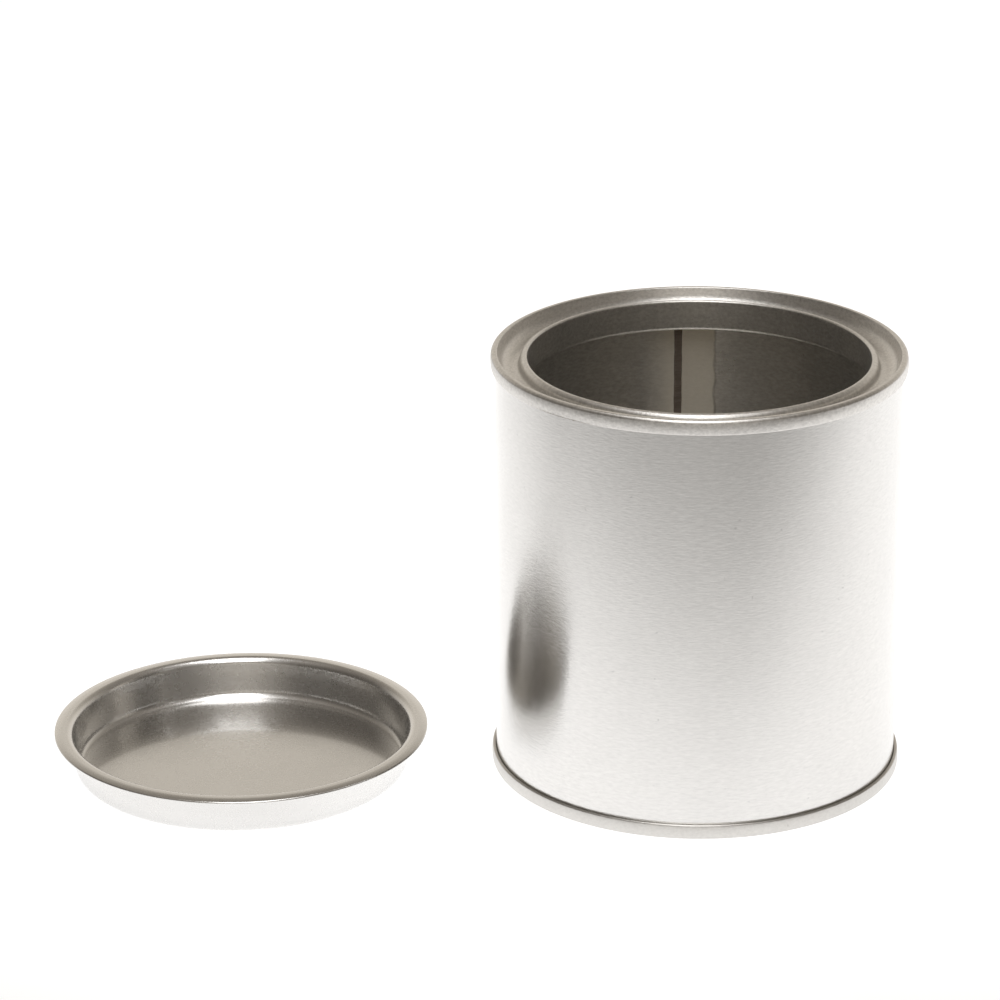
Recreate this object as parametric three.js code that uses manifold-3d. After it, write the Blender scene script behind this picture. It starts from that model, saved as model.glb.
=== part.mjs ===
import * as THREE from 'three';
import { mergeVertices } from 'three/addons/utils/BufferGeometryUtils.js';
import Module from 'manifold-3d';

// A plain tinplate lever-lid paint tin of the quarter-litre class. The tin stands open and its lid
// lies beside it, dish side up. Millimetres, +Z up, z = 0 on the surface under tin and lid, and the
// origin below the middle of the pair.

// Body
const CAN_BORE = 73.8; // inside diameter of the rolled body
const TIN_HEIGHT = 80; // from the surface to the top of the rim
const BODY_SHEET = 0.18; // thickness of the body plate

// Double seams, alike at the top and at the foot
const END_SHEET = 0.2; // thickness of the ring and of the bottom end
const PLY_GAP = 0.04; // clearance between neighbouring plies of a seam
const SEAM_HEIGHT = 2.8;
const SEAM_CROWN = 0.13; // how far the seam wall bulges
const SEAM_LAND = 0.9; // height of the widest part of that bulge
const SEAM_CROWN_BEND = 5; // radius of the bends above and below it
const CHUCK_FOLD_BEND = 0.25; // radius between seam top and chuck wall
const HOOK_BEND = 0.06; // inside radius of the bend of a body hook
const HOOK_END_GAP = 0.35; // room between the end of a body hook and the fold below it
const COMPOUND_HEIGHT = 0.42; // height of the sealing compound in its pocket

// Lever ring
const CHUCK_LEAN = 0.85; // how far the chuck wall draws in towards the groove floor
const GROOVE_DEPTH = 3; // groove floor below the top of the rim
const GROOVE_WIDTH = 4.06; // from the top of the chuck wall to the mouth lip
const GROOVE_OUTER_BEND = 2; // radius between chuck wall and groove floor
const GROOVE_INNER_BEND = 0.6; // radius between groove floor and mouth lip
const LIP_WIDTH = 1.39; // thickness of the folded mouth lip
const LIP_INNER_BEND = 0.35; // radius of the lip's edge over the mouth
const LIP_DROP = 0.88; // top of the mouth lip below the top of the rim
const NECK_DEPTH = 6.02; // from the top of the mouth lip to the lower edge of the neck
const NECK_CURL_WIDTH = 2; // thickness of the outward curl along the lower edge of the neck
const NECK_CURL_RISE = 1.4; // height of that curl

// Bottom end
const PANEL_RISE = 3.2; // underside of the bottom panel above the surface
const PANEL_BEND = 0.7; // radius between chuck wall and bottom panel
const STEP_DIAMETER = 50; // diameter of the expansion step in the bottom panel
const STEP_RISE = 0.7; // height of that step
const STEP_RUN = 1.4; // width of that step

// Side seam, on the inside back wall
const WELD_WIDTH = 1.5;
const WELD_CLEARANCE = 0.3; // between the weld strip and each edge of the blank
const WELD_ANGLE = THREE.MathUtils.degToRad(3.6); // to the left of straight back

// Lid
const LID_SHEET = 0.24;
const LID_HEIGHT = 8.1; // from the surface to the crown of the flange
const PLUG_CLEARANCE = 0.05; // between the plug and the neck it fills
const PLUG_TAPER = 0.12; // how far the plug's wall draws in towards its foot
const PLUG_FOOT_BEND = 1.5; // inside radius between plug wall and panel
const FLARE = 0.3; // how far the wall leans out below the flange
const FLARE_DEPTH = 3; // where that lean starts, below the crown
const FLARE_BEND = 13; // radius of the bend there
const LID_LIP_BEND = 1.4; // radius on top between wall and flange
const CROWN_BEND = 4; // radius of the flange's crown
const FLANGE_DROP = 0.22; // edge of the flange below its crown
const FLANGE_REACH = 3.5; // edge of the flange beyond the neck's inner face
const FLANGE_CURL_HEIGHT = 0.6; // height of the hem curled under that edge
const FLANGE_CURL_RETURN = 0.9; // how far that hem runs back in

// Where the lid lies, from the tin's axis
const LID_LEFT = 84.6;
const LID_FORWARD = 3.3;

// Fineness of the turned shapes
const SEGMENTS = 40; // facets round the axis
const BEND_STEP = Math.PI / 4; // largest turn of one facet along a section
const TOUCHING = 1e-6; // points nearer than this are one

// Radii of the seam's plies, from the bore outwards, each at the middle of its sheet
const PLY_PITCH = (BODY_SHEET + END_SHEET) / 2 + PLY_GAP;
const CHUCK_WALL_R = CAN_BORE / 2 - PLY_GAP - END_SHEET / 2;
const BODY_WALL_R = CAN_BORE / 2 + BODY_SHEET / 2;
const COVER_HOOK_R = BODY_WALL_R + PLY_PITCH;
const BODY_HOOK_R = COVER_HOOK_R + PLY_PITCH;
const SEAM_WALL_R = BODY_HOOK_R + PLY_PITCH;
const RIM_R = SEAM_WALL_R + SEAM_CROWN + END_SHEET / 2;

// Depths of the seam's folds, from the rim inwards, each at the middle of its sheet
const COVER_FOLD_DEPTH = END_SHEET / 2;
const BODY_FOLD_DEPTH = COVER_FOLD_DEPTH + PLY_PITCH;
const LAST_FOLD_DEPTH = SEAM_HEIGHT - END_SHEET / 2;
const BODY_HOOK_DEPTH = SEAM_HEIGHT - END_SHEET - HOOK_END_GAP;
const COMPOUND_DEPTH = BODY_FOLD_DEPTH + BODY_SHEET / 2 + PLY_GAP;
const COVER_HOOK_DEPTH = COMPOUND_DEPTH + COMPOUND_HEIGHT + PLY_GAP;
const BODY_FOLD_BEND = HOOK_BEND + BODY_SHEET / 2;
const COVER_FOLD_BEND = BODY_FOLD_BEND + PLY_PITCH;

// Radii of the mouth, which the lid's plug and flange follow
const LIP_OUTER_R = CAN_BORE / 2 - PLY_GAP - END_SHEET - GROOVE_WIDTH;
const MOUTH_R = LIP_OUTER_R - LIP_WIDTH;
const PLUG_TOP_R = MOUTH_R - PLUG_CLEARANCE;
const PLUG_FOOT_R = PLUG_TOP_R - PLUG_TAPER;
const FLANGE_R = MOUTH_R + FLANGE_REACH;

// Places that put the origin below the middle of tin and lid
const SPAN_LEFT = Math.min(-LID_LEFT - FLANGE_R, -RIM_R);
const SPAN_RIGHT = Math.max(RIM_R, FLANGE_R - LID_LEFT);
const SPAN_FRONT = Math.min(-LID_FORWARD - FLANGE_R, -RIM_R);
const SPAN_BACK = Math.max(RIM_R, FLANGE_R - LID_FORWARD);
const TIN_X = -(SPAN_LEFT + SPAN_RIGHT) / 2;
const TIN_Y = -(SPAN_FRONT + SPAN_BACK) / 2;

const wasm = await Module();
wasm.setup();

// A corner in a sheet's section: radius from the axis, height, and bend radius at mid-thickness
function corner(r, z, bend = 0) {
  return { at: new THREE.Vector2(r, z), bend };
}

function leftOf(heading) {
  return new THREE.Vector2(-Math.sin(heading), Math.cos(heading));
}

// Points along a section with its corners rounded, each with the heading there
function bentPath(corners) {
  const path = [];
  const push = (at, heading) => {
    const last = path[path.length - 1];
    if (!last || last.at.distanceTo(at) > TOUCHING) path.push({ at, heading });
  };
  corners.forEach(({ at, bend }, i) => {
    const before = corners[i - 1]?.at;
    const after = corners[i + 1]?.at;
    const arriving = before && at.clone().sub(before).angle();
    const leaving = after && after.clone().sub(at).angle();
    if (!before || !after) {
      push(at, before ? arriving : leaving);
      return;
    }
    const turn = THREE.MathUtils.euclideanModulo(leaving - arriving + Math.PI, 2 * Math.PI) - Math.PI;
    const reach = bend * Math.tan(Math.abs(turn) / 2);
    const start = at.clone().addScaledVector(at.clone().sub(before).normalize(), -reach);
    const inside = bend * Math.sign(turn);
    const centre = start.addScaledVector(leftOf(arriving), inside);
    const steps = Math.ceil(Math.abs(turn) / BEND_STEP - TOUCHING);
    for (let k = 0; k <= steps; k++) {
      const heading = arriving + (turn * k) / steps;
      push(centre.clone().addScaledVector(leftOf(heading), -inside), heading);
    }
  });
  return path;
}

// The outline of a sheet of one thickness along its section, wound so that its faces point out
function sheetOutline(corners, thickness) {
  const path = bentPath(corners);
  const side = (offset) => path.map(({ at, heading }) => at.clone().addScaledVector(leftOf(heading), offset));
  const outline = [...side(thickness / 2), ...side(-thickness / 2).reverse()];
  return THREE.ShapeUtils.area(outline) < 0 ? outline.reverse() : outline;
}

// A turned solid about the Z axis; an outline clear of the axis closes on itself
function turned(outline) {
  const closed = outline[0].x > TOUCHING ? [...outline, outline[0].clone()] : outline;
  return new THREE.LatheGeometry(closed, SEGMENTS).rotateX(Math.PI / 2);
}

function toSolid(geometry) {
  geometry.deleteAttribute('normal');
  geometry.deleteAttribute('uv');
  const merged = mergeVertices(geometry);
  const vertProperties = new Float32Array(merged.attributes.position.array);
  const triVerts = new Uint32Array(merged.index.array);
  return new wasm.Manifold(new wasm.Mesh({ numProp: 3, vertProperties, triVerts }));
}

function toGeometry(solid) {
  const { vertProperties, triVerts } = solid.getMesh();
  const geometry = new THREE.BufferGeometry();
  geometry.setAttribute('position', new THREE.BufferAttribute(vertProperties, 3));
  geometry.setIndex(new THREE.BufferAttribute(triVerts, 1));
  geometry.computeVertexNormals();
  return geometry;
}

// Heights at the rim and at the foot for a depth into the seam there
const atRim = (depth) => TIN_HEIGHT - depth;
const atFoot = (depth) => depth;

// The body hook: down the outside of the cover hook and over to the body wall
function bodyHook(level) {
  return [
    corner(BODY_HOOK_R, level(BODY_HOOK_DEPTH)),
    corner(BODY_HOOK_R, level(BODY_FOLD_DEPTH), BODY_FOLD_BEND),
    corner(BODY_WALL_R, level(BODY_FOLD_DEPTH), BODY_FOLD_BEND),
  ];
}

// The cover side of a seam: cover hook, fold, bulging seam wall, seam top and the start of the chuck wall
function coverHook(level) {
  return [
    corner(COVER_HOOK_R, level(COVER_HOOK_DEPTH)),
    corner(COVER_HOOK_R, level(LAST_FOLD_DEPTH), PLY_PITCH),
    corner(SEAM_WALL_R, level(LAST_FOLD_DEPTH), PLY_PITCH),
    corner(SEAM_WALL_R + SEAM_CROWN, level((SEAM_HEIGHT + SEAM_LAND) / 2), SEAM_CROWN_BEND),
    corner(SEAM_WALL_R + SEAM_CROWN, level((SEAM_HEIGHT - SEAM_LAND) / 2), SEAM_CROWN_BEND),
    corner(SEAM_WALL_R, level(COVER_FOLD_DEPTH), COVER_FOLD_BEND),
    corner(CHUCK_WALL_R, level(COVER_FOLD_DEPTH), CHUCK_FOLD_BEND),
  ];
}

// The rolled blank as a whole ring, before the weld is parted from it
function bodyRing() {
  return toSolid(turned(sheetOutline([...bodyHook(atFoot), ...bodyHook(atRim).reverse()], BODY_SHEET)));
}

// A block through the body wall at the side seam
function sideSeamBlock(width) {
  const depth = 2 * (RIM_R - CHUCK_WALL_R);
  const block = new THREE.BoxGeometry(width, depth, TIN_HEIGHT);
  return toSolid(block.translate(0, BODY_WALL_R, TIN_HEIGHT / 2).rotateZ(WELD_ANGLE));
}

function makeBody() {
  return toGeometry(bodyRing().subtract(sideSeamBlock(WELD_WIDTH + 2 * WELD_CLEARANCE)));
}

function makeSideSeamWeld() {
  return toGeometry(bodyRing().intersect(sideSeamBlock(WELD_WIDTH)));
}

function makeLeverRing() {
  const half = END_SHEET / 2;
  const floor = TIN_HEIGHT - GROOVE_DEPTH - half;
  const lipTop = TIN_HEIGHT - LIP_DROP - half;
  const lipOuter = LIP_OUTER_R - half;
  const neck = MOUTH_R + half;
  const neckFoot = TIN_HEIGHT - LIP_DROP - NECK_DEPTH + half;
  const curl = MOUTH_R + NECK_CURL_WIDTH - half;
  const mouthBend = LIP_INNER_BEND - half;
  const lipBend = lipOuter - neck - mouthBend;
  const curlBend = (curl - neck) / 2;
  return turned(sheetOutline([
    ...coverHook(atRim),
    corner(CHUCK_WALL_R - CHUCK_LEAN, floor, GROOVE_OUTER_BEND + half),
    corner(lipOuter, floor, GROOVE_INNER_BEND + half),
    corner(lipOuter, lipTop, lipBend),
    corner(neck, lipTop, mouthBend),
    corner(neck, neckFoot, curlBend),
    corner(curl, neckFoot, curlBend),
    corner(curl, neckFoot - half + NECK_CURL_RISE),
  ], END_SHEET));
}

function makeBottomEnd() {
  const half = END_SHEET / 2;
  const panel = PANEL_RISE + half;
  const stepFoot = STEP_DIAMETER / 2;
  return turned(sheetOutline([
    corner(0, panel + STEP_RISE),
    corner(stepFoot - STEP_RUN, panel + STEP_RISE, PANEL_BEND),
    corner(stepFoot, panel, PANEL_BEND),
    corner(CHUCK_WALL_R, panel, PANEL_BEND),
    ...coverHook(atFoot).reverse(),
  ], END_SHEET));
}

// The sealing compound in the pocket between cover hook and body fold
function makeSeamCompound(level) {
  const inner = COVER_HOOK_R - END_SHEET / 2;
  const outer = COVER_HOOK_R + END_SHEET / 2;
  const [low, high] = [level(COMPOUND_DEPTH), level(COMPOUND_DEPTH + COMPOUND_HEIGHT)].sort((a, b) => a - b);
  return turned([
    new THREE.Vector2(inner, low),
    new THREE.Vector2(outer, low),
    new THREE.Vector2(outer, high),
    new THREE.Vector2(inner, high),
  ]);
}

function makeLid() {
  const half = LID_SHEET / 2;
  const wall = PLUG_TOP_R - half;
  const lip = wall + FLARE;
  const edge = FLANGE_R - half;
  const crown = LID_HEIGHT - half;
  const flange = crown - FLANGE_DROP;
  const hem = flange + LID_SHEET - FLANGE_CURL_HEIGHT;
  const hemBend = (flange - hem) / 2;
  return turned(sheetOutline([
    corner(0, half),
    corner(PLUG_FOOT_R - half, half, PLUG_FOOT_BEND + half),
    corner(wall, LID_HEIGHT - FLARE_DEPTH, FLARE_BEND),
    corner(lip, crown, LID_LIP_BEND - half),
    corner((lip + LID_LIP_BEND + edge) / 2, crown, CROWN_BEND),
    corner(edge, flange, hemBend),
    corner(edge, hem, hemBend),
    corner(edge - hemBend - FLANGE_CURL_RETURN, hem),
  ], LID_SHEET));
}

const tinplate = new THREE.MeshStandardMaterial({ color: 0xb8b3a8, roughness: 0.3, metalness: 1 });
const weldedPlate = new THREE.MeshStandardMaterial({ color: 0x4d4843, roughness: 0.45, metalness: 0.9 });
const compound = new THREE.MeshStandardMaterial({ color: 0x8f8a7c, roughness: 0.85, metalness: 0 });

function piece(name, geometry, material) {
  const mesh = new THREE.Mesh(geometry, material);
  mesh.name = name;
  return mesh;
}

const tin = new THREE.Group();
tin.position.set(TIN_X, TIN_Y, 0);
tin.add(
  piece('body', makeBody(), tinplate),
  piece('side_seam_weld', makeSideSeamWeld(), weldedPlate),
  piece('lever_ring', makeLeverRing(), tinplate),
  piece('top_seam_compound', makeSeamCompound(atRim), compound),
  piece('bottom_end', makeBottomEnd(), tinplate),
  piece('bottom_seam_compound', makeSeamCompound(atFoot), compound),
);

const lidBeside = new THREE.Group();
lidBeside.position.set(TIN_X - LID_LEFT, TIN_Y - LID_FORWARD, 0);
lidBeside.add(piece('lid', makeLid(), tinplate));

const paintTin = new THREE.Group();
paintTin.add(tin, lidBeside);

export default paintTin;
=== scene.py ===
import math

import bpy
from mathutils import Matrix, Vector


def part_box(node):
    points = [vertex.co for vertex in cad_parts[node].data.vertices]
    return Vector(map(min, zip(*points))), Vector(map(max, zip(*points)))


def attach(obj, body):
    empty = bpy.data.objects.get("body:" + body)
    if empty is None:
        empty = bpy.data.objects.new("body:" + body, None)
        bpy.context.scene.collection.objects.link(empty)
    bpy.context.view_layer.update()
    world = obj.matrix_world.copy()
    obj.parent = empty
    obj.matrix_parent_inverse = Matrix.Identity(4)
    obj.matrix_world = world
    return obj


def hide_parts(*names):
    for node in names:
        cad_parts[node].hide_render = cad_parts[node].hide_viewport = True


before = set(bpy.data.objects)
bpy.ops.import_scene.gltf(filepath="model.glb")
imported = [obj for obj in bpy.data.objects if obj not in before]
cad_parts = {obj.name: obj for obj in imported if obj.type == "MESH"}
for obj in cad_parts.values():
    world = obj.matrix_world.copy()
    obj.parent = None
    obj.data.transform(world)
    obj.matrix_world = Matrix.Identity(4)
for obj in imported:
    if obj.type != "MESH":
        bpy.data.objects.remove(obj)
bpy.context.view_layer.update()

# Lengths of the pieces and of their grain are millimetres, and MM brings them to metres
MM = 0.001

# Sheets and seams
BODY_SHEET = 0.18
END_SHEET = 0.2
LID_SHEET = 0.24
PLY_GAP = 0.04
SEAM_HEIGHT = 2.8
HOOK_BEND = 0.06
HOOK_END_GAP = 0.35
COMPOUND_HEIGHT = 0.42
SEAM_CROWN = 0.13
SEAM_LAND = 0.9
SEAM_CROWN_BEND = 5.0
SEAM_TOP_BEND = 0.65
CHUCK_FOLD_BEND = 0.12

# Lever ring
CHUCK_LEAN = 0.85
GROOVE_DEPTH = 3.0
GROOVE_WIDTH = 4.06
GROOVE_OUTER_BEND = 2.0
GROOVE_INNER_BEND = 0.6
LIP_WIDTH = 1.39
LIP_INNER_BEND = 0.35
LIP_DROP = 0.88
NECK_DEPTH = 6.02
NECK_CURL_WIDTH = 2.0
NECK_CURL_RISE = 1.4

# Bottom end
PANEL_RISE = 3.2
PANEL_BEND = 0.7
STEP_DIAMETER = 50
STEP_RISE = 0.7
STEP_RUN = 1.4

# Side seam, turned from straight behind towards the lid
WELD_ANGLE = math.radians(3.6)
WELD_WIDTH = 1.5
WELD_PROUD = 0.03
WELD_ROWS = 160

# Places across the bead from edge to edge, and the share of its full height there
BEAD_ACROSS = (-1.0, -0.9, -0.7, -0.35, 0.0, 0.35, 0.7, 0.9, 1.0)
BEAD_CROWN = (0.0, 0.55, 0.85, 0.97, 1.0, 0.97, 0.85, 0.55, 0.0)

# Waves of the bead's edges: share of its half width, radians to the millimetre, start
BEAD_WAVES = ((0.03, 0.9, 0.0), (0.02, 2.3, 1.0))

# Lid
PLUG_CLEARANCE = 0.05
PLUG_TAPER = 0.12
PLUG_FOOT_BEND = 1.5
FLARE = 0.3
FLARE_DEPTH = 3.0
FLARE_BEND = 13.0
LID_LIP_BEND = 1.4
CROWN_BEND = 4.0
FLANGE_DROP = 0.22
FLANGE_CURL_HEIGHT = 0.6
FLANGE_CURL_RETURN = 0.9

# Fineness of the turned sheets
SEGMENTS = 256
BEND_STEP = math.radians(7.5)
SUPPORT = 0.15
LONG_RUN = 4.0
SHARP = math.radians(40)
SAME_POINT = 1e-4


def middle(node):
    low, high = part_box(node)
    return (low + high) / 2


def size(node):
    low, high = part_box(node)
    return (high - low) / MM


# Places and main sizes come from the frame
TIN_AXIS = middle("lever_ring")
LID_AXIS = middle("lid")
TIN_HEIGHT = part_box("lever_ring")[1].z / MM
RIM_R = size("lever_ring").y / 2
LID_HEIGHT = size("lid").z
FLANGE_R = size("lid").y / 2

PLY_PITCH = (BODY_SHEET + END_SHEET) / 2 + PLY_GAP
SEAM_WALL_R = RIM_R - END_SHEET / 2 - SEAM_CROWN
BODY_HOOK_R = SEAM_WALL_R - PLY_PITCH
COVER_HOOK_R = BODY_HOOK_R - PLY_PITCH
BODY_WALL_R = COVER_HOOK_R - PLY_PITCH
CHUCK_WALL_R = BODY_WALL_R - PLY_PITCH
BODY_IN_R = BODY_WALL_R - BODY_SHEET / 2
BODY_OUT_R = BODY_WALL_R + BODY_SHEET / 2
COVER_FOLD_DEPTH = END_SHEET / 2
BODY_FOLD_DEPTH = COVER_FOLD_DEPTH + PLY_PITCH
LAST_FOLD_DEPTH = SEAM_HEIGHT - END_SHEET / 2
BODY_HOOK_DEPTH = SEAM_HEIGHT - END_SHEET - HOOK_END_GAP
COMPOUND_DEPTH = BODY_FOLD_DEPTH + BODY_SHEET / 2 + PLY_GAP
COVER_HOOK_DEPTH = COMPOUND_DEPTH + COMPOUND_HEIGHT + PLY_GAP
BODY_FOLD_BEND = HOOK_BEND + BODY_SHEET / 2
COVER_FOLD_BEND = SEAM_TOP_BEND - END_SHEET / 2
LIP_OUTER_R = CHUCK_WALL_R - END_SHEET / 2 - GROOVE_WIDTH
MOUTH_R = LIP_OUTER_R - LIP_WIDTH
PLUG_TOP_R = MOUTH_R - PLUG_CLEARANCE
PLUG_FOOT_R = PLUG_TOP_R - PLUG_TAPER


# Sections

def corner(r, z, bend=0.0):
    return Vector((r, z)), bend


def left_of(heading):
    return Vector((-math.sin(heading), math.cos(heading)))


def heading_of(v):
    return math.atan2(v.y, v.x)


def straight_run(path, start, end, heading):
    """Adds points along a straight run, close to its ends and evenly between them."""
    length = (end - start).length
    if length < 3 * SUPPORT:
        return
    along = (end - start) / length
    inner = length - 2 * SUPPORT
    parts = max(1, math.ceil(inner / LONG_RUN))
    for k in range(parts + 1):
        path.append((start + along * (SUPPORT + inner * k / parts), heading))


def bent_path(corners):
    """Points along a section with its corners rounded, each with the heading there."""
    path = []
    last = corners[0][0]
    for i, (at, bend) in enumerate(corners):
        before = corners[i - 1][0] if i else None
        after = corners[i + 1][0] if i + 1 < len(corners) else None
        if before is None:
            path.append((at, heading_of(after - at)))
            continue
        arriving = heading_of(at - before)
        if after is None:
            straight_run(path, last, at, arriving)
            path.append((at, arriving))
            continue
        turn = (heading_of(after - at) - arriving + math.pi) % (2 * math.pi) - math.pi
        reach = bend * math.tan(abs(turn) / 2)
        start = at - (at - before).normalized() * reach
        inside = math.copysign(bend, turn)
        centre = start + left_of(arriving) * inside
        straight_run(path, last, start, arriving)
        steps = max(1, math.ceil(abs(turn) / BEND_STEP))
        for k in range(steps + 1):
            heading = arriving + turn * k / steps
            path.append((centre - left_of(heading) * inside, heading))
        last = path[-1][0]
    apart = path[:1]
    for point in path[1:]:
        if (point[0] - apart[-1][0]).length > SAME_POINT:
            apart.append(point)
    return apart


def sheet_outline(corners, thickness):
    """Both faces of a sheet along its section, as one closed outline."""
    path = bent_path(corners)
    one = [at + left_of(heading) * thickness / 2 for at, heading in path]
    other = [at - left_of(heading) * thickness / 2 for at, heading in path]
    return one + other[::-1]


def at_rim(depth):
    return TIN_HEIGHT - depth


def at_foot(depth):
    return depth


def body_hook(level):
    return [
        corner(BODY_HOOK_R, level(BODY_HOOK_DEPTH)),
        corner(BODY_HOOK_R, level(BODY_FOLD_DEPTH), BODY_FOLD_BEND),
        corner(BODY_WALL_R, level(BODY_FOLD_DEPTH), BODY_FOLD_BEND),
    ]


def cover_hook(level):
    return [
        corner(COVER_HOOK_R, level(COVER_HOOK_DEPTH)),
        corner(COVER_HOOK_R, level(LAST_FOLD_DEPTH), PLY_PITCH),
        corner(SEAM_WALL_R, level(LAST_FOLD_DEPTH), PLY_PITCH),
        corner(SEAM_WALL_R + SEAM_CROWN, level((SEAM_HEIGHT + SEAM_LAND) / 2), SEAM_CROWN_BEND),
        corner(SEAM_WALL_R + SEAM_CROWN, level((SEAM_HEIGHT - SEAM_LAND) / 2), SEAM_CROWN_BEND),
        corner(SEAM_WALL_R, level(COVER_FOLD_DEPTH), COVER_FOLD_BEND),
        corner(CHUCK_WALL_R, level(COVER_FOLD_DEPTH), CHUCK_FOLD_BEND),
    ]


def body_section():
    return body_hook(at_foot) + body_hook(at_rim)[::-1]


def ring_section():
    half = END_SHEET / 2
    floor = TIN_HEIGHT - GROOVE_DEPTH - half
    lip_top = TIN_HEIGHT - LIP_DROP - half
    lip_outer = LIP_OUTER_R - half
    neck = MOUTH_R + half
    neck_foot = TIN_HEIGHT - LIP_DROP - NECK_DEPTH + half
    curl = MOUTH_R + NECK_CURL_WIDTH - half
    mouth_bend = LIP_INNER_BEND - half
    lip_bend = lip_outer - neck - mouth_bend
    curl_bend = (curl - neck) / 2
    return cover_hook(at_rim) + [
        corner(CHUCK_WALL_R - CHUCK_LEAN, floor, GROOVE_OUTER_BEND + half),
        corner(lip_outer, floor, GROOVE_INNER_BEND + half),
        corner(lip_outer, lip_top, lip_bend),
        corner(neck, lip_top, mouth_bend),
        corner(neck, neck_foot, curl_bend),
        corner(curl, neck_foot, curl_bend),
        corner(curl, neck_foot - half + NECK_CURL_RISE),
    ]


def bottom_section():
    half = END_SHEET / 2
    panel = PANEL_RISE + half
    step_foot = STEP_DIAMETER / 2
    return [
        corner(0, panel + STEP_RISE),
        corner(step_foot - STEP_RUN, panel + STEP_RISE, PANEL_BEND),
        corner(step_foot, panel, PANEL_BEND),
        corner(CHUCK_WALL_R, panel, PANEL_BEND),
    ] + cover_hook(at_foot)[::-1]


def lid_section():
    half = LID_SHEET / 2
    wall = PLUG_TOP_R - half
    lip = wall + FLARE
    edge = FLANGE_R - half
    crown = LID_HEIGHT - half
    flange = crown - FLANGE_DROP
    hem = flange + LID_SHEET - FLANGE_CURL_HEIGHT
    hem_bend = (flange - hem) / 2
    return [
        corner(0, half),
        corner(PLUG_FOOT_R - half, half, PLUG_FOOT_BEND + half),
        corner(wall, LID_HEIGHT - FLARE_DEPTH, FLARE_BEND),
        corner(lip, crown, LID_LIP_BEND - half),
        corner((lip + LID_LIP_BEND + edge) / 2, crown, CROWN_BEND),
        corner(edge, flange, hem_bend),
        corner(edge, hem, hem_bend),
        corner(edge - hem_bend - FLANGE_CURL_RETURN, hem),
    ]


# Meshes

def around(r, angle, z):
    return r * MM * math.cos(angle), r * MM * math.sin(angle), z * MM


def smooth_object(name, verts, faces, axis):
    """A smooth object with its origin on a vertical axis at the floor."""
    mesh = bpy.data.meshes.new(name)
    mesh.from_pydata(verts, [], faces)
    mesh.polygons.foreach_set("use_smooth", [True] * len(mesh.polygons))
    mesh.set_sharp_from_angle(angle=SHARP)
    obj = bpy.data.objects.new(name, mesh)
    obj.location = (axis.x, axis.y, 0)
    bpy.context.scene.collection.objects.link(obj)
    return obj


def turned(name, outline, axis):
    """A closed outline turned about a vertical axis."""
    area = sum(p.x * q.y - q.x * p.y for p, q in zip(outline, outline[1:] + outline[:1]))
    if area < 0:
        outline = outline[::-1]
    verts, rings = [], []
    for p in outline:
        if p.x < SAME_POINT:
            rings.append([len(verts)] * SEGMENTS)
            verts.append((0, 0, p.y * MM))
            continue
        rings.append(list(range(len(verts), len(verts) + SEGMENTS)))
        verts += [around(p.x, 2 * math.pi * k / SEGMENTS, p.y) for k in range(SEGMENTS)]
    faces = []
    for low, high in zip(rings, rings[1:] + rings[:1]):
        if low[0] == low[1] and high[0] == high[1]:
            continue
        for k in range(SEGMENTS):
            n = (k + 1) % SEGMENTS
            quad = [low[k], low[n], high[n], high[k]]
            faces.append(list(dict.fromkeys(quad)))
    return smooth_object(name, verts, faces, axis)


def weld_strip():
    """The weld bead: a narrow curved strip, a little proud of both faces of the body wall."""
    half = WELD_WIDTH / 2 / BODY_WALL_R
    ring = [(a, BODY_IN_R - WELD_PROUD * c) for a, c in zip(BEAD_ACROSS, BEAD_CROWN)]
    ring += [(a, BODY_OUT_R + WELD_PROUD * c) for a, c in zip(BEAD_ACROSS[::-1], BEAD_CROWN[::-1])]
    low = SEAM_HEIGHT - END_SHEET
    high = TIN_HEIGHT - low
    verts, faces = [], []
    for i in range(WELD_ROWS + 1):
        z = low + (high - low) * i / WELD_ROWS
        wander = sum(share * math.sin(rate * z + start) for share, rate, start in BEAD_WAVES)
        verts += [around(r, math.pi / 2 + WELD_ANGLE + half * a * (1 + wander), z) for a, r in ring]
    loop = len(ring)
    for i in range(WELD_ROWS):
        for k in range(loop):
            n = (k + 1) % loop
            faces.append([i * loop + k, i * loop + n, (i + 1) * loop + n, (i + 1) * loop + k])
    faces.append(list(range(loop))[::-1])
    faces.append(list(range(WELD_ROWS * loop, (WELD_ROWS + 1) * loop)))
    return smooth_object("side_seam_bead", verts, faces, TIN_AXIS)


# Materials

def rgb(r, g, b):
    return (r, g, b, 1.0)


def shade(colour, factor):
    return rgb(*(c * factor for c in colour[:3]))


LID_COLOUR = rgb(0.71, 0.70, 0.686)
BODY_COLOUR = rgb(0.72, 0.71, 0.695)
RING_COLOUR = rgb(0.74, 0.722, 0.695)
# Painted shade: the bottom end's plate is the ring's plate darkened, standing in for the shade down at
# the foot
BOTTOM_SHADED_COLOUR = shade(RING_COLOUR, 0.86)
# Painted light: the faces inside the body get a paler copy of the plate, lifting the shaded inside of the
# tin
INNER_PAINTED_LIGHT_COLOUR = rgb(0.84, 0.82, 0.785)
LACQUER_COLOUR = rgb(0.87, 0.80, 0.67)
WELD_DARK = rgb(0.16, 0.13, 0.11)
WELD_LIGHT = rgb(0.4, 0.335, 0.285)
COMPOUND_DARK = rgb(0.22, 0.20, 0.16)
COMPOUND_LIGHT = rgb(0.34, 0.32, 0.27)

# Noise scales count waves to the metre, and most of a noise's values lie in NOISE_RANGE
NOISE_RANGE = (0.3, 0.7)
CLOUD_SCALE = 90.0
SPECK_SCALE = 1400.0
STRIPE_WAVE_SCALE = 260.0
RIPPLE_SCALE = 500.0
RIPPLE_STRETCH = 6.0
COMPOUND_SCALE = 900.0

# Clouds and specks on the plate: the noise that shows them, how strongly, and their shade
CLOUD_RANGE = (0.45, 0.75)
CLOUD_STRENGTH = 0.06
CLOUD_SHADE = 0.75
SPECK_RANGE = (0.84, 0.9)
SPECK_STRENGTH = 0.3
SPECK_SHADE = 0.45

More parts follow.
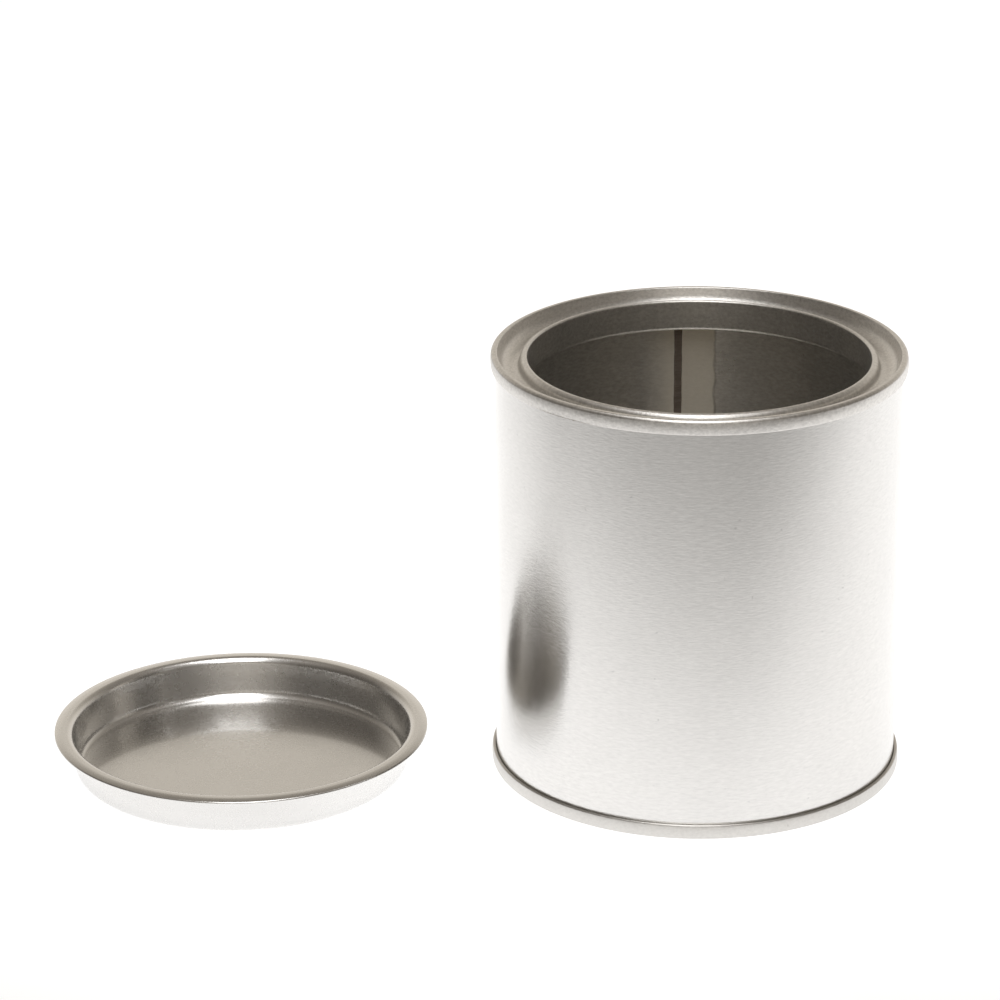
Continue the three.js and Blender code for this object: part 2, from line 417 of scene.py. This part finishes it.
# How far the grain and the clouds change the roughness of the plate
GRAIN_ROUGHNESS = 0.02
CLOUD_ROUGHNESS = 0.015

# Lacquer stripe: its reach to each side of the weld, its fade on the left and its edge on the right
STRIPE_LEFT = 7.0
STRIPE_FADE = 5.5
STRIPE_RIGHT = 7.0
STRIPE_RIGHT_FADE = 0.2
STRIPE_WAVE = 0.35
STRIPE_STRENGTH = 0.7
STRIPE_METALLIC = 0.6
EDGE_LINE = (0.1, 0.35)
EDGE_LINE_STRENGTH = 0.4
EDGE_LINE_SHADE = 0.4


class Nodes:
    """Adds nodes to the tree of one material or world and links them by name."""

    def __init__(self, owner, shader="Principled BSDF"):
        owner.use_nodes = True
        self.owner = owner
        self.tree = owner.node_tree
        self.shader = self.tree.nodes[shader]

    def add(self, kind, links=None, **settings):
        node = self.tree.nodes.new(kind)
        for key, value in settings.items():
            setattr(node, key, value)
        for socket, source in (links or {}).items():
            self.feed(node, socket, source)
        return node

    def feed(self, node, socket, source):
        target = node.inputs[socket]
        if isinstance(source, bpy.types.NodeSocket):
            self.tree.links.new(source, target)
        elif isinstance(source, bpy.types.Node):
            self.tree.links.new(source.outputs[0], target)
        else:
            target.default_value = source

    def place(self):
        return self.add("ShaderNodeTexCoord").outputs["Object"]

    def split(self, source):
        return self.add("ShaderNodeSeparateXYZ", {0: source}).outputs

    def join(self, x, y, z=0.0):
        return self.add("ShaderNodeCombineXYZ", {0: x, 1: y, 2: z}).outputs[0]

    def math(self, operation, a, b=0.0):
        return self.add("ShaderNodeMath", {0: a, 1: b}, operation=operation).outputs[0]

    def vector(self, operation, *sources, output="Vector"):
        node = self.add("ShaderNodeVectorMath", dict(enumerate(sources)), operation=operation)
        return node.outputs[output]

    def spread(self, source, low, high, start=0.0, end=1.0, **settings):
        """The source's range from start to end, laid over low to high."""
        links = {"Value": source, "From Min": start, "From Max": end, "To Min": low, "To Max": high}
        return self.add("ShaderNodeMapRange", links, **settings).outputs[0]

    def noise(self, vector, scale, detail=3.0, roughness=0.55):
        links = {"Vector": vector, "Scale": scale, "Detail": detail, "Roughness": roughness}
        return self.add("ShaderNodeTexNoise", links).outputs[0]

    def mix(self, factor, one, other):
        return self.add("ShaderNodeMix", {0: factor, 6: one, 7: other}, data_type="RGBA").outputs[2]

    def bump(self, height, distance, strength=1.0):
        links = {"Height": height, "Strength": strength, "Distance": distance}
        return self.add("ShaderNodeBump", links)

    def ramp(self, source, stops):
        node = self.add("ShaderNodeValToRGB", {"Fac": source})
        elements = node.color_ramp.elements
        while len(elements) < len(stops):
            elements.new(0.5)
        for element, (position, colour) in zip(elements, stops):
            element.position = position
            element.color = rgb(*colour)
        return node.outputs[0]


def tinplate(name, colour, roughness, grain, relief, contrast, anisotropy=0.0):
    """Bright tinplate with fine rolling grain, faint clouding and a few specks.

    The grain runs round the axis. It is given by its width and length, the height of its relief
    and the share by which it darkens and lightens the colour.
    """
    n = Nodes(bpy.data.materials.new(name))
    grain_width, grain_length = grain
    at = n.place()
    x, y, z = n.split(at)
    radius = n.vector("LENGTH", n.join(x, y), output="Value")
    across = n.math("MULTIPLY", n.math("ADD", z, radius), 1 / (grain_width * MM))
    along_x = n.math("MULTIPLY", x, 1 / (grain_length * MM))
    along_y = n.math("MULTIPLY", y, 1 / (grain_length * MM))
    lines = n.noise(n.join(along_x, along_y, across), 1.0, detail=4.0, roughness=0.65)
    cloud = n.noise(at, CLOUD_SCALE)
    speck = n.noise(at, SPECK_SCALE, detail=0.0)
    dark, light = shade(colour, 1 - contrast), shade(colour, 1 + contrast)
    tone = n.mix(n.spread(lines, 0.0, 1.0, *NOISE_RANGE), dark, light)
    tone = n.mix(n.spread(cloud, 0.0, CLOUD_STRENGTH, *CLOUD_RANGE), tone, shade(colour, CLOUD_SHADE))
    tone = n.mix(n.spread(speck, 0.0, SPECK_STRENGTH, *SPECK_RANGE), tone, shade(colour, SPECK_SHADE))
    rough_lines = n.spread(lines, -GRAIN_ROUGHNESS, GRAIN_ROUGHNESS, *NOISE_RANGE)
    rough_cloud = n.spread(cloud, -CLOUD_ROUGHNESS, CLOUD_ROUGHNESS, *NOISE_RANGE)
    rough = n.math("ADD", n.math("ADD", rough_lines, rough_cloud), roughness)
    n.feed(n.shader, "Base Color", tone)
    n.feed(n.shader, "Roughness", rough)
    n.feed(n.shader, "Normal", n.bump(lines, relief * MM))
    n.feed(n.shader, "Metallic", 1.0)
    if anisotropy:
        n.feed(n.shader, "Anisotropic", anisotropy)
        n.feed(n.shader, "Anisotropic Rotation", 0.25)
        n.feed(n.shader, "Tangent", n.add("ShaderNodeTangent", direction_type="RADIAL", axis="Z"))
    return n


def add_lacquer_stripe(n):
    """A stripe of pale lacquer along the weld, faded on the left and sharp on the right."""
    at = n.place()
    x, y = n.split(at)[:2]
    turn = n.math("ADD", n.math("ARCTAN2", x, y), WELD_ANGLE)
    wave = n.spread(n.noise(at, STRIPE_WAVE_SCALE), -STRIPE_WAVE, STRIPE_WAVE, *NOISE_RANGE)
    beside = n.math("ADD", n.math("MULTIPLY", turn, BODY_IN_R), wave)
    left = n.spread(beside, 0.0, 1.0, -STRIPE_LEFT, STRIPE_FADE - STRIPE_LEFT)
    right = n.spread(beside, 1.0, 0.0, STRIPE_RIGHT - STRIPE_RIGHT_FADE, STRIPE_RIGHT)
    band = n.math("MULTIPLY", left, right)
    edge = n.math("ABSOLUTE", n.math("SUBTRACT", beside, STRIPE_RIGHT))
    line = n.spread(edge, EDGE_LINE_STRENGTH, 0.0, *EDGE_LINE)
    bare = n.shader.inputs["Base Color"].links[0].from_socket
    tone = n.mix(n.spread(band, 0.0, STRIPE_STRENGTH), bare, LACQUER_COLOUR)
    tone = n.mix(line, tone, shade(LACQUER_COLOUR, EDGE_LINE_SHADE))
    n.feed(n.shader, "Base Color", tone)
    n.feed(n.shader, "Metallic", n.spread(band, 1.0, STRIPE_METALLIC))


def body_outside():
    n = tinplate("body_tinplate", BODY_COLOUR, roughness=0.2, grain=(0.3, 1.3), relief=0.024,
                 contrast=0.065, anisotropy=0.35)
    return n.owner


def body_inside():
    # Painted light: paler plate than outside to brighten the tin's shaded inside; the lacquer stripe
    # added below is real
    n = tinplate("inner_tinplate_painted_light", INNER_PAINTED_LIGHT_COLOUR, roughness=0.3, grain=(0.4, 1.0), relief=0.016,
                 contrast=0.14, anisotropy=0.6)
    add_lacquer_stripe(n)
    return n.owner


def ring_plate():
    n = tinplate("ring_tinplate", RING_COLOUR, roughness=0.36, grain=(0.5, 0.7), relief=0.04,
                 contrast=0.16)
    return n.owner


def bottom_plate():
    # Painted shade: a darker copy of the ring's plate for the end that sits by the floor
    n = tinplate("bottom_tinplate_painted_shade", BOTTOM_SHADED_COLOUR, roughness=0.36, grain=(0.5, 0.7), relief=0.04,
                 contrast=0.07)
    return n.owner


def lid_plate():
    """Smoother plate under a thin clear film that mirrors more sharply than the plate."""
    n = tinplate("lid_tinplate", LID_COLOUR, roughness=0.27, grain=(1.5, 1.5), relief=0.0012,
                 contrast=0.012)
    n.feed(n.shader, "Coat Weight", 1.0)
    n.feed(n.shader, "Coat Roughness", 0.09)
    n.feed(n.shader, "Coat IOR", 2.2)
    return n.owner


def weld_metal():
    """Heat-darkened metal with fine ripples across the weld."""
    n = Nodes(bpy.data.materials.new("weld_metal"))
    x, y, z = n.split(n.place())
    ripple = n.noise(n.join(x, y, n.math("MULTIPLY", z, RIPPLE_STRETCH)), RIPPLE_SCALE)
    n.feed(n.shader, "Base Color", n.mix(ripple, WELD_DARK, WELD_LIGHT))
    n.feed(n.shader, "Roughness", n.spread(ripple, 0.35, 0.6))
    n.feed(n.shader, "Normal", n.bump(ripple, 0.05 * MM, 0.4))
    n.feed(n.shader, "Metallic", 0.8)
    return n.owner


def sealing_compound():
    n = Nodes(bpy.data.materials.new("seam_compound"))
    blob = n.noise(n.place(), COMPOUND_SCALE)
    n.feed(n.shader, "Base Color", n.mix(blob, COMPOUND_DARK, COMPOUND_LIGHT))
    n.feed(n.shader, "Roughness", n.spread(blob, 0.7, 0.95))
    n.feed(n.shader, "Normal", n.bump(blob, 0.1 * MM, 0.3))
    return n.owner


# Pieces

def dress(obj, material, body, node):
    obj.data.materials.append(material)
    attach(obj, body)
    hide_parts(node)


def line_inside(obj, material):
    """Gives the faces that look towards the axis their own material."""
    obj.data.materials.append(material)
    for face in obj.data.polygons:
        if face.normal.x * face.center.x + face.normal.y * face.center.y < 0:
            face.material_index = 1


def add_body():
    shell = turned("body_shell", sheet_outline(body_section(), BODY_SHEET), TIN_AXIS)
    dress(shell, body_outside(), "tin", "body")
    line_inside(shell, body_inside())


def add_lever_ring():
    ring = turned("lever_ring_pressing", sheet_outline(ring_section(), END_SHEET), TIN_AXIS)
    dress(ring, ring_plate(), "tin", "lever_ring")


def add_bottom():
    bottom = turned("bottom_pressing", sheet_outline(bottom_section(), END_SHEET), TIN_AXIS)
    dress(bottom, bottom_plate(), "tin", "bottom_end")


def add_lid():
    lid = turned("lid_pressing", sheet_outline(lid_section(), LID_SHEET), LID_AXIS)
    dress(lid, lid_plate(), "lid", "lid")


def add_weld():
    dress(weld_strip(), weld_metal(), "tin", "side_seam_weld")


def coat_compound():
    """The two rings of compound stay the frame's own solids, with a better material."""
    compound = sealing_compound()
    for name in ("top_seam_compound", "bottom_seam_compound"):
        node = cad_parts[name]
        node.data.materials.clear()
        node.data.materials.append(compound)


# Stage, in metres

FLOOR_HALF = 3.0
FLOOR_DROP = 0.00002
FLOOR_COLOUR = rgb(0.5, 0.5, 0.5)

# The floor's painted light, a glowing pool, fades from white to dull over this distance from the origin,
# less quickly sideways
POOL_END = 0.28
POOL_SQUEEZE = (0.75, 1.0, 0.0)
POOL_WHITE = 1.0
POOL_DULL = 0.12

# Share of that distance that counts: none at REAR_FROM, all from REAR_TO on, as a cosine to the way ahead
POOL_AHEAD = (-0.45, -0.89, 0.0)
REAR_FROM = -1.0
REAR_TO = 0.6

# Colours of the room on each side, from level at 0 to straight up at 1
ROOM_TOP = (1.0, (0.26, 0.232, 0.2))
ROOM_REAR = [
    (0.0, (0.82, 0.77, 0.71)),
    (0.36, (0.81, 0.75, 0.66)),
    (0.55, (0.37, 0.335, 0.285)),
    (0.8, (0.20, 0.178, 0.15)),
    ROOM_TOP,
]
ROOM_AHEAD = [
    (0.0, (0.72, 0.66, 0.58)),
    (0.2, (0.66, 0.605, 0.53)),
    (0.5, (0.25, 0.224, 0.19)),
    ROOM_TOP,
]
ROOM_LEFT = [(0.0, (0.10, 0.09, 0.078)), (0.5, (0.12, 0.107, 0.092)), ROOM_TOP]
ROOM_RIGHT = [(0.0, (0.18, 0.161, 0.138)), (0.5, (0.17, 0.152, 0.13)), ROOM_TOP]

# How far a direction points aside or back while one side of the room turns into the next
SIDE_FROM = 0.05
SIDE_TO = 0.6
BACK_FROM = 0.25
BACK_TO = 0.85

SOFTBOX_PLACE = Vector((0.01, -0.24, 0.62))
SOFTBOX_TARGET = Vector((0.01, 0.0, 0.04))
SOFTBOX_WIDTH = 0.34
SOFTBOX_DEPTH = 0.80
SOFTBOX_POWER = 2.15

# The camera looks along +Y and down, from a point measured from the tin's axis on the floor
CAMERA_FROM_TIN = Vector((-0.036243, -0.773376, 0.346015))
CAMERA_DOWN = math.radians(20.871)
CAMERA_ROLL = -0.0045
CAMERA_LENS = 162.41
CAMERA_SENSOR = 36.0
CAMERA_NEAR = 0.05
CAMERA_FAR = 20.0


def floor_material():
    """A pool of painted light: white round the object and behind it, with its shadow, and duller with
    distance ahead of it.
    """
    n = Nodes(bpy.data.materials.new("floor_painted_light_pool"))
    n.feed(n.shader, "Base Color", FLOOR_COLOUR)
    n.feed(n.shader, "Roughness", 1.0)
    n.feed(n.shader, "Specular IOR Level", 0.0)
    path = n.add("ShaderNodeLightPath").outputs
    seen = n.math("ADD", path["Is Camera Ray"], path["Is Glossy Ray"])
    seen = n.math("MINIMUM", n.math("ADD", seen, path["Is Transmission Ray"]), 1.0)
    at = n.add("ShaderNodeNewGeometry").outputs["Position"]
    out = n.vector("MULTIPLY", at, POOL_SQUEEZE)
    away = n.vector("LENGTH", out, output="Value")
    ahead = n.vector("DOT_PRODUCT", n.vector("NORMALIZE", out), POOL_AHEAD, output="Value")
    reach = n.math("MULTIPLY", away, n.spread(ahead, 0.0, 1.0, REAR_FROM, REAR_TO))
    # Painted light: the floor's glow is a pool, bright round the object and behind it, dull far ahead
    level = n.spread(reach, POOL_WHITE, POOL_DULL, 0.0, POOL_END, interpolation_type="SMOOTHSTEP")
    glow = n.math("MULTIPLY", seen, level)
    lift = n.add("ShaderNodeEmission", {"Color": rgb(1, 1, 1), "Strength": glow})
    both = n.add("ShaderNodeAddShader", {0: n.shader, 1: lift})
    n.feed(n.tree.nodes["Material Output"], "Surface", both)
    return n.owner


def add_floor():
    corners = [(x * FLOOR_HALF, y * FLOOR_HALF, 0) for x, y in ((-1, -1), (1, -1), (1, 1), (-1, 1))]
    mesh = bpy.data.meshes.new("floor")
    mesh.from_pydata(corners, [], [[0, 1, 2, 3]])
    mesh.materials.append(floor_material())
    obj = bpy.data.objects.new("floor", mesh)
    obj.location.z = -FLOOR_DROP
    bpy.context.scene.collection.objects.link(obj)


def add_world():
    """A dim warm-grey room, pale low down behind the object and straight ahead, darker at its sides."""
    n = Nodes(bpy.data.worlds.new("studio"), "Background")
    x, y, z = n.split(n.add("ShaderNodeTexCoord").outputs["Generated"])
    to_right = n.spread(x, 0.0, 1.0, SIDE_FROM, SIDE_TO)
    to_left = n.spread(x, 0.0, 1.0, -SIDE_FROM, -SIDE_TO)
    to_rear = n.spread(y, 0.0, 1.0, BACK_FROM, BACK_TO)
    room = n.mix(to_right, n.ramp(z, ROOM_AHEAD), n.ramp(z, ROOM_RIGHT))
    room = n.mix(to_left, room, n.ramp(z, ROOM_LEFT))
    room = n.mix(to_rear, room, n.ramp(z, ROOM_REAR))
    n.feed(n.shader, "Color", room)
    bpy.context.scene.world = n.owner


def add_softbox():
    light = bpy.data.lights.new("front_softbox", "AREA")
    light.shape = "RECTANGLE"
    light.size = SOFTBOX_WIDTH
    light.size_y = SOFTBOX_DEPTH
    light.energy = SOFTBOX_POWER
    obj = bpy.data.objects.new("front_softbox", light)
    obj.location = SOFTBOX_PLACE
    obj.rotation_mode = "QUATERNION"
    obj.rotation_quaternion = (SOFTBOX_TARGET - SOFTBOX_PLACE).to_track_quat("-Z", "Y")
    bpy.context.scene.collection.objects.link(obj)


def add_camera():
    data = bpy.data.cameras.new("photo_camera")
    data.sensor_width = CAMERA_SENSOR
    data.lens = CAMERA_LENS
    data.clip_start = CAMERA_NEAR
    data.clip_end = CAMERA_FAR
    obj = bpy.data.objects.new("photo_camera", data)
    place = Vector((TIN_AXIS.x, TIN_AXIS.y, 0)) + CAMERA_FROM_TIN
    tilt = Matrix.Rotation(math.pi / 2 - CAMERA_DOWN, 4, "X")
    obj.matrix_world = Matrix.Translation(place) @ tilt @ Matrix.Rotation(CAMERA_ROLL, 4, "Z")
    bpy.context.scene.collection.objects.link(obj)
    bpy.context.scene.camera = obj


add_body()
add_lever_ring()
add_bottom()
add_lid()
add_weld()
coat_compound()
add_floor()
add_world()
add_softbox()
add_camera()
bpy.context.scene.view_settings.view_transform = "Standard"
